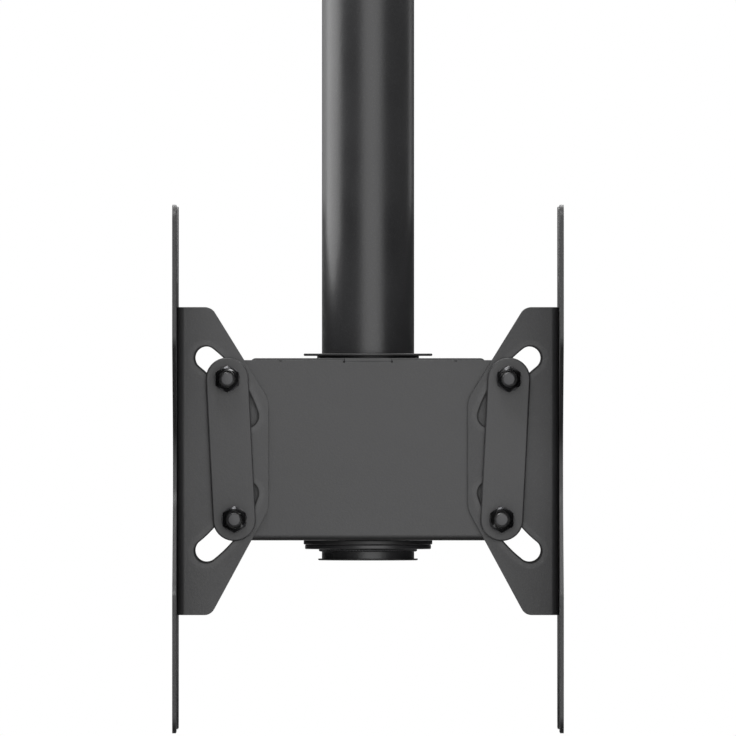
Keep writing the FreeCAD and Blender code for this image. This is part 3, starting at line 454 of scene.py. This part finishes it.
nut_zinc = black_zinc("nut_zinc", dark=(0.010, 0.010, 0.011), light=(0.022, 0.022, 0.024),
                      metal=0.8, gloss=0.2)
screw_zinc = black_zinc("screw_zinc", dark=(0.030, 0.030, 0.031), light=(0.060, 0.060, 0.063),
                        metal=0.4, gloss=0.34)
lock_flats = 0.0159
lock_head_height = 0.0064
lock_head = turned("lock_head", [
    (0, 0), (0.0076, 0), (0.0077, 0.0004), (0.0084, 0.0004), (0.0096, 0.0011),
    (0.0096, lock_head_height - 0.0010), (0.0078, lock_head_height), (0.0060, lock_head_height),
    (0.0052, lock_head_height - 0.0005), (0, lock_head_height - 0.0005),
])
cut_to_hexagon(lock_head, lock_flats, low=-0.001, high=0.010)
lock_shank = turned("lock_shank", [
    (0, 0.0001), (0.0050, 0.0001), (0.0050, -0.0020), (0.0043, -0.0027), (0.0043, -0.0215),
    (0.0034, -0.0235), (0.0020, -0.0235), (0, -0.0225),
], steps=40)
lock_thread = thread(radius=0.0050, pitch=0.0015, low=-0.0222, high=-0.0024)
lock_screw = join("hexagon_lock_screw", lock_head, lock_shank, lock_thread)
lay(lock_screw, "swivel_lock_hexagon_screw", (0, cheek_outside, tilt_height),
    (math.radians(-90), 0, 0), screw_zinc, "head", "blackened_steel", "swivel_lock_screw")
bpy.data.objects.remove(lock_screw)

# Clamp bars: 4 mm steel links with round ends, one outside each wing, over its two bolts.
# Their edges are broken all round, and they are coated like the housing.
bar_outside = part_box("far_left_clamp_bar")[1][1]
for node in ("near_left_clamp_bar", "far_left_clamp_bar", "near_right_clamp_bar",
             "far_right_clamp_bar"):
    soften(node, "head", edge=0.0009, finish=sheet_coat)

# Tilt bolts: M12, with a low domed head inside the cheek, and under it a square neck in the
# cheek's square hole, so that the bolt can't turn while its nut is tightened.
tilt_reach = joint_places["right_bracket"][0]
slot_radius = 0.101
bolt_angles = {"upper": math.radians(37.8), "lower": math.radians(-32.0)}
bolt_seats = [
    (f"{side}_{height}_{face}", side, sign * (tilt_reach - slot_radius * math.cos(angle)), way,
     tilt_height + slot_radius * math.sin(angle))
    for side, sign in (("left", -1), ("right", 1))
    for height, angle in bolt_angles.items()
    for face, way in (("near", -1), ("far", 1))
]


def lay_on_bolts(master, label, distance, finish, slot, node):
    """Copies of a piece on all eight tilt bolts, distance from the pole's axis."""
    for seat, side, across, way, up in bolt_seats:
        lay(master, f"{seat}_{label}", (across, way * distance, up),
            (math.radians(-90 * way), 0, 0), finish, "head", slot, f"{side}_{node}")
    bpy.data.objects.remove(master)


head_radius = 0.0130
rim_height = 0.0012
crown_height = 0.0053
neck_width = 0.0121
bolt_end = 0.0290
head_rim = [(0.0, 0.0), (head_radius - 0.0004, 0.0), (head_radius, -0.0004),
            (head_radius, -rim_height)]
crown = [(head_radius * math.cos(math.radians(angle)),
          -rim_height - crown_height * math.sin(math.radians(angle)))
         for angle in range(8, 91, 8)]
bolt_head = turned("bolt_head", head_rim + crown + [(0.0, -rim_height - crown_height)])
bpy.ops.mesh.primitive_cube_add(size=neck_width, location=(0, 0, sheet / 2))
bolt_neck = bpy.context.object
bpy.ops.object.mode_set(mode="EDIT")
bpy.ops.mesh.select_all(action="SELECT")
bpy.ops.transform.resize(value=(1.0, 1.0, sheet / neck_width))
bpy.ops.mesh.bevel(offset=0.0005, segments=3, affect="EDGES")
bpy.ops.object.mode_set(mode="OBJECT")
bpy.ops.object.transform_apply(location=True, rotation=True, scale=True)
bolt_shank = turned("bolt_shank", [
    (0, 0.0029), (0.0058, 0.0029), (0.0058, 0.0110), (0.0052, 0.0116), (0.0052, bolt_end - 0.0007),
    (0.0049, bolt_end - 0.0003), (0.0044, bolt_end), (0, bolt_end),
], steps=48)
bolt_thread = thread(radius=0.0060, pitch=0.00175, low=0.0113, high=bolt_end - 0.0005, steps=48)
tilt_bolt = join("tilt_bolt", bolt_head, bolt_neck, bolt_shank, bolt_thread)
lay_on_bolts(tilt_bolt, "tilt_bolt", cheek_inside, screw_zinc, "blackened_steel", "tilt_bolts")

# Slot bushes: turned black nylon, flange against the cheek, barrel in the arc slot.
# Friction washers: 1.5 mm black nylon between wing and clamp bar.
for node in ("left_slot_bushes", "left_friction_washers", "right_slot_bushes",
             "right_friction_washers"):
    soften(node, "head", edge=0.0002, finish=black_nylon, slot="black_plastic")

# Spring washers: square steel wire coiled once and cut, its ends sprung a little apart.
# Between clamp bar and nut, they keep the friction washers pressed as these wear.
coil_inner = 0.0063
coil_outer = 0.0104
coil_height = 0.0022
coil_rise = 0.0003
coil_corner = 0.0002
spring_washer = coiled("spring_washer", [
    (coil_inner + coil_corner, 0), (coil_outer - coil_corner, 0), (coil_outer, coil_corner),
    (coil_outer, coil_height - coil_corner), (coil_outer - coil_corner, coil_height),
    (coil_inner + coil_corner, coil_height), (coil_inner, coil_height - coil_corner),
    (coil_inner, coil_corner),
], pitch=coil_rise, turns=1, steps=60, angle=350, closed=True)
smooth(spring_washer)
lay_on_bolts(spring_washer, "spring_washer", bar_outside, nut_zinc, "blackened_steel",
             "spring_washers")

# Tilt nuts: M12 lock nuts, a bevelled hexagon with a collar crimped over a black nylon ring.
# They are tightened until the screens hold their tilt by friction.
nut_seat = bar_outside + coil_height + coil_rise
nut_flats = 0.019
nut_body = turned("nut_body", [
    (0.0054, 0.0011), (0.0066, 0.0), (0.0090, 0.0), (0.0112, 0.0012), (0.0112, 0.0066),
    (0.0088, 0.0080), (0.0087, 0.0082), (0.00865, 0.0092), (0.0071, 0.0118), (0.0069, 0.0120),
    (0.0067, 0.0119), (0.0066, 0.0116), (0.0068, 0.0110), (0.0074, 0.0104),
    (0.0075, 0.0086), (0.0062, 0.0082), (0.0054, 0.0074), (0.0054, 0.0011),
])
cut_to_hexagon(nut_body, nut_flats, low=-0.001, high=0.013)
lay_on_bolts(join("nut_body", nut_body), "lock_nut", nut_seat, nut_zinc, "blackened_steel",
             "tilt_nuts")
nut_ring = turned("nut_ring", [
    (0.0057, 0.0089), (0.0060, 0.0086), (0.0073, 0.0086), (0.0074, 0.0089), (0.0074, 0.0099),
    (0.0071, 0.0102), (0.0062, 0.0100), (0.0057, 0.0096), (0.0057, 0.0089),
])
lay_on_bolts(join("nut_ring", nut_ring), "nut_lock_ring", nut_seat, black_nylon,
             "black_plastic", "tilt_nuts")

# Yokes: 3 mm sheet folded to a web and two wings, each wing with two arc slots for the tilt.
# The washers rub a band along the slots when a screen is tilted, and a painted shadow darkens the
# slots' edges.
slot_start = math.radians(18.3)
slot_end = math.radians(51.8)
slot_half_width = 0.0093
washer_radius = 0.015


def distance_to(tree, along, rise, centre_along, centre_rise):
    """Distance in the plane of a wing from a point."""
    squares = [combine(tree, "POWER", combine(tree, "SUBTRACT", value, centre), 2.0)
               for value, centre in ((along, centre_along), (rise, centre_rise))]
    return combine(tree, "SQRT", combine(tree, "ADD", *squares))


def slot_wear_and_shadow(axis_reach):
    """Marks round the arc slots about a tilt axis, axis_reach along X from the pole.

    A band swept by the washers is rubbed and scratched along the arc, and a dark line of
    painted shadow lies along the slots' edges.
    """
    scratch_grey = (0.1, 0.1, 0.104)
    slot_shadow_black = (0.005, 0.005, 0.005)

    def wear_and_shadow(tree, place, colour, roughness):
        spot = add(tree, "ShaderNodeSeparateXYZ", Vector=place)
        along = combine(tree, "ABSOLUTE",
                        combine(tree, "SUBTRACT", spot.outputs["X"], axis_reach))
        rise = combine(tree, "ABSOLUTE",
                       combine(tree, "SUBTRACT", spot.outputs["Z"], tilt_height))
        reach = distance_to(tree, along, rise, 0.0, 0.0)
        off_slot = combine(tree, "ABSOLUTE", combine(tree, "SUBTRACT", reach, slot_radius))
        turn = combine(tree, "ARCTAN2", rise, along)
        for end, way in ((slot_start, -1.0), (slot_end, 1.0)):
            beyond = combine(tree, "MULTIPLY", combine(tree, "SUBTRACT", turn, end), way)
            off_slot = combine(tree, "ADD", off_slot,
                               combine(tree, "GREATER_THAN", beyond, 0.0))
        for end in (slot_start, slot_end):
            off_end = distance_to(tree, along, rise, slot_radius * math.cos(end),
                                  slot_radius * math.sin(end))
            off_slot = combine(tree, "MINIMUM", off_slot, off_end)
        swept = spread(tree, off_slot, washer_radius - 0.0012, washer_radius + 0.0002, 1.0, 0.0)
        # Painted shadow: a dark line along the slots' edges, where the gap round the bush lies in
        # shade. It is also made rougher.
        slot_edge_shadow = spread(tree, off_slot, slot_half_width + 0.0007, slot_half_width + 0.0014,
                        1.0, 0.0)
        rings = add(tree, "ShaderNodeTexNoise", {"noise_dimensions": "1D"}, W=reach,
                    Scale=3500.0, Detail=4.0)
        scratches = spread(tree, rings.outputs["Fac"], 0.54, 0.66, 0.0, 1.0)
        scratches = combine(tree, "MULTIPLY", scratches, swept)
        broken = spread(tree, noise(tree, place, scale=160.0, detail=3.0), 0.48, 0.6, 0.0, 0.45)
        scratches = combine(tree, "MULTIPLY", scratches, broken)
        colour = blend_colours(tree, scratches, colour, scratch_grey)
        colour = blend_colours(tree, slot_edge_shadow, colour, slot_shadow_black)
        roughness = combine(tree, "MULTIPLY_ADD", swept, -0.06, roughness)
        roughness = combine(tree, "MULTIPLY_ADD", slot_edge_shadow, 0.4, roughness)
        return colour, roughness

    return wear_and_shadow


# The left yoke is painted a lighter black and the right one a darker: painted light and shade from
# the lamps on the left.
yoke_side_lit_tones = {"left": (0.033, 0.033, 0.034), "right": (0.023, 0.023, 0.024)}
for side, sign in (("left", -1), ("right", 1)):
    yoke_side_lit_coat = powder_coat(f"{side}_yoke_side_lit_coat", yoke_side_lit_tones[side], gloss=0.4,
                            wear_and_shadow=slot_wear_and_shadow(sign * tilt_reach))
    soften(f"{side}_yoke", f"{side}_bracket", edge=0.0007, finish=yoke_side_lit_coat)

# Screen plates: flat 3 mm sheet cut to four arms, with holes and slots for the screens.
# They are laser cut, and their coat is painted a little deeper black than the yokes', as painted
# shade.
plate_shaded_coat = powder_coat("plate_shaded_coat", shade=(0.013, 0.013, 0.0135), gloss=0.42)
for side in ("left", "right"):
    soften(f"{side}_screen_plate", f"{side}_bracket", edge=0.0004, finish=plate_shaded_coat)

# Plate screws: M6 countersunk with a hexagon socket, blackened steel, flush with the plate.
# Four of them hold each screen plate to its yoke's web.
plate_low, plate_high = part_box("right_screen_plate")
plate_centre = (plate_low[2] + plate_high[2]) / 2
plate_face = plate_high[0]
screw_across = 0.042
screw_rise = 0.082
screw_points = [(across, plate_centre + up) for across in (-screw_across, screw_across)
                for up in (-screw_rise, screw_rise)]


def lay_on_plates(master, label, distance, finish, slot, node):
    """Copies of a piece at all screws of both plates, pointing towards the pole."""
    for side, sign in (("left", -1), ("right", 1)):
        for number, (across, up) in enumerate(screw_points, start=1):
            lay(master, f"{side}_{label}_{number}", (sign * distance, across, up),
                (0, math.radians(-sign * 90), 0), finish, f"{side}_bracket", slot,
                f"{side}_{node}")
    bpy.data.objects.remove(master)


plate_screw = turned("plate_screw", [
    (0, 0), (0.0056, 0), (0.0060, 0.0003), (0.0060, 0.0005), (0.0030, 0.0030), (0.0026, 0.0034),
    (0.0026, 0.0113), (0.0021, 0.0122), (0, 0.0122),
], steps=48)
drive_radius = 0.0023
drive_depth = 0.0018
bpy.ops.mesh.primitive_cylinder_add(vertices=6, radius=drive_radius, depth=2 * drive_depth,
                                    location=(0, 0, 0))
cut_with(plate_screw, bpy.context.object, "DIFFERENCE")
plate_thread = thread(radius=0.0030, pitch=0.0010, low=0.0032, high=0.0118, steps=32)
plate_screw = join("plate_screw", plate_screw, plate_thread)
lay_on_plates(plate_screw, "plate_screw", plate_face, screw_zinc, "blackened_steel",
              "plate_screws")

# Plate nuts: M6 hexagon nuts with a black zinc finish, both faces bevelled.
# They sit on the plate screws behind the web.
plate_nut_flats = 0.010
plate_nut = turned("plate_nut", [
    (0.0026, 0.0005), (0.0032, 0.0), (0.0048, 0.0), (0.0060, 0.0007), (0.0060, 0.0043),
    (0.0048, 0.0050), (0.0032, 0.0050), (0.0026, 0.0045), (0.0026, 0.0005),
], steps=48)
cut_to_hexagon(plate_nut, plate_nut_flats, low=-0.001, high=0.006)
lay_on_plates(join("plate_nut", plate_nut), "plate_nut", plate_face - 2 * sheet, nut_zinc,
              "blackened_steel", "plate_nuts")

# Studio: pale floor, white surroundings and soft lamps with an even face.
# Dark cards, seen only in reflections, give the satin coat its dark sides.
flag_distance = 2.5
flag_paint, flag_tree, _ = new_finish("flag_paint")
dark_face = add(flag_tree, "ShaderNodeEmission", Color=(1, 1, 1, 1), Strength=0.12)
add(flag_tree, "ShaderNodeOutputMaterial", Surface=dark_face.outputs["Emission"])


def flag(name, points, faces):
    """Dark card seen only in reflections."""
    mesh = bpy.data.meshes.new(name)
    mesh.from_pydata(points, [], faces)
    card = bpy.data.objects.new(name, mesh)
    bpy.context.collection.objects.link(card)
    coat(card, flag_paint)
    card.visible_camera = False
    card.visible_diffuse = False
    card.visible_shadow = False
    card.visible_transmission = False


def wall_flag(name, start, end, high=3.0):
    """Card bent round the pole between two bearings, from under the floor up to high."""
    steps = 12
    low = -1.6
    points = []
    for step in range(steps + 1):
        bearing = math.radians(start + (end - start) * step / steps)
        for height in (low, high):
            points.append((flag_distance * math.sin(bearing),
                           -flag_distance * math.cos(bearing), height))
    flag(name, points, [(2 * step, 2 * step + 1, 2 * step + 3, 2 * step + 2)
                        for step in range(steps)])


def flat_flag(name, radius, height):
    """Round level card under the object."""
    steps = 32
    points = [(radius * math.cos(2 * math.pi * step / steps),
               radius * math.sin(2 * math.pi * step / steps), height) for step in range(steps)]
    flag(name, points, [tuple(range(steps))])


wall_flag("front_left_flag", -70, -20)
wall_flag("right_flag", 40, 126)
wall_flag("back_right_flag", 138, 180)
wall_flag("back_left_flag", -180, -155)
wall_flag("low_left_flag", -155, -70, high=-0.350)
flat_flag("floor_flag", radius=0.6, height=-1.0)


def softbox(name, bearing, distance, height, aim_height, width, length, strength):
    """Lamp with an even face, aimed at a height on the pole; strength 1 is white."""
    lamp = bpy.data.lights.new(name, "AREA")
    lamp.shape = "RECTANGLE"
    lamp.size = width
    lamp.size_y = length
    lamp.energy = strength * math.pi * width * length
    box = bpy.data.objects.new(name, lamp)
    bpy.context.collection.objects.link(box)
    turn = math.radians(bearing)
    box.location = (distance * math.sin(turn), -distance * math.cos(turn), height)
    aim = Vector((0, 0, aim_height)) - box.location
    box.rotation_mode = "QUATERNION"
    box.rotation_quaternion = aim.to_track_quat("-Z", "Y")
    box.visible_camera = False


softbox("left_softbox", bearing=-99, distance=1.6, height=0.5, aim_height=0.5,
        width=1.5, length=1.7, strength=3.4)
softbox("front_softbox", bearing=10, distance=3.0, height=-0.2, aim_height=-0.2,
        width=2.4, length=3.0, strength=1.45)
softbox("upper_left_softbox", bearing=-28, distance=1.056, height=1.45, aim_height=-0.41,
        width=1.2, length=0.35, strength=20.0)
softbox("right_softbox", bearing=100, distance=2.0, height=1.8, aim_height=-0.4,
        width=1.6, length=1.0, strength=6.0)
softbox("back_softbox", bearing=172, distance=2.0, height=1.8, aim_height=-0.4,
        width=2.0, length=1.0, strength=7.0)


def seen_or_mirrored(tree):
    """1 for rays from the eye, mirrors and glass, 0 for all others."""
    path = add(tree, "ShaderNodeLightPath")
    seen = path.outputs["Is Camera Ray"]
    for other in ("Is Glossy Ray", "Is Transmission Ray"):
        seen = combine(tree, "MAXIMUM", seen, path.outputs[other])
    return seen


sky_light = 0.36
world = bpy.context.scene.world or bpy.data.worlds.new("studio")
bpy.context.scene.world = world
world.use_nodes = True
sky = world.node_tree
sky.nodes.clear()
air = add(sky, "ShaderNodeBackground", Color=(1, 1, 1, 1),
          Strength=spread(sky, seen_or_mirrored(sky), 0.0, 1.0, sky_light, 1.0))
add(sky, "ShaderNodeOutputWorld", Surface=air.outputs["Background"])

floor_height = -1.15
fade_start = 0.7
fade_end = 2.6
bpy.ops.mesh.primitive_circle_add(vertices=96, radius=8.0, fill_type="NGON",
                                  location=(0, 0, floor_height))
floor = bpy.context.object
floor.name = "floor"
bpy.ops.object.transform_apply(location=True, rotation=True, scale=True)
floor_paint, floor_tree, floor_place = new_finish("floor_paint")
matt = add(floor_tree, "ShaderNodeBsdfDiffuse", Color=(0.82, 0.82, 0.82, 1))
white = add(floor_tree, "ShaderNodeEmission", Color=(1, 1, 1, 1), Strength=1.0)
distance = add(floor_tree, "ShaderNodeVectorMath", {"operation": "LENGTH"},
               Vector=floor_place.outputs["Object"])
far_off = spread(floor_tree, distance.outputs["Value"], fade_start, fade_end, 0.0, 1.0)
hidden = combine(floor_tree, "MULTIPLY", far_off, seen_or_mirrored(floor_tree))
blended = add(floor_tree, "ShaderNodeMixShader", Fac=hidden)
fill(floor_tree, blended.inputs[1], matt.outputs["BSDF"])
fill(floor_tree, blended.inputs[2], white.outputs["Emission"])
face_side = add(floor_tree, "ShaderNodeNewGeometry")
clear = add(floor_tree, "ShaderNodeBsdfTransparent")
one_sided = add(floor_tree, "ShaderNodeMixShader", Fac=face_side.outputs["Backfacing"])
fill(floor_tree, one_sided.inputs[1], blended.outputs["Shader"])
fill(floor_tree, one_sided.inputs[2], clear.outputs["BSDF"])
add(floor_tree, "ShaderNodeOutputMaterial", Surface=one_sided.outputs["Shader"])
coat(floor, floor_paint)

# Camera: level with the head and square to the housing's cheek, far away on a long lens, so
# that the side view has almost no perspective.
picture_width = 0.606
picture_centre = -0.3431
lens = 1600.0
sensor = 36.0
eye = bpy.data.cameras.new("eye")
eye.lens = lens
eye.sensor_width = sensor
eye.clip_end = 100.0
camera = bpy.data.objects.new("eye", eye)
bpy.context.collection.objects.link(camera)
camera.location = (0.0, -picture_width * lens / sensor, picture_centre)
camera.rotation_euler = (math.radians(90), 0, 0)
bpy.context.scene.camera = camera
bpy.context.scene.view_settings.view_transform = "Standard"

bpy.context.view_layer.update()
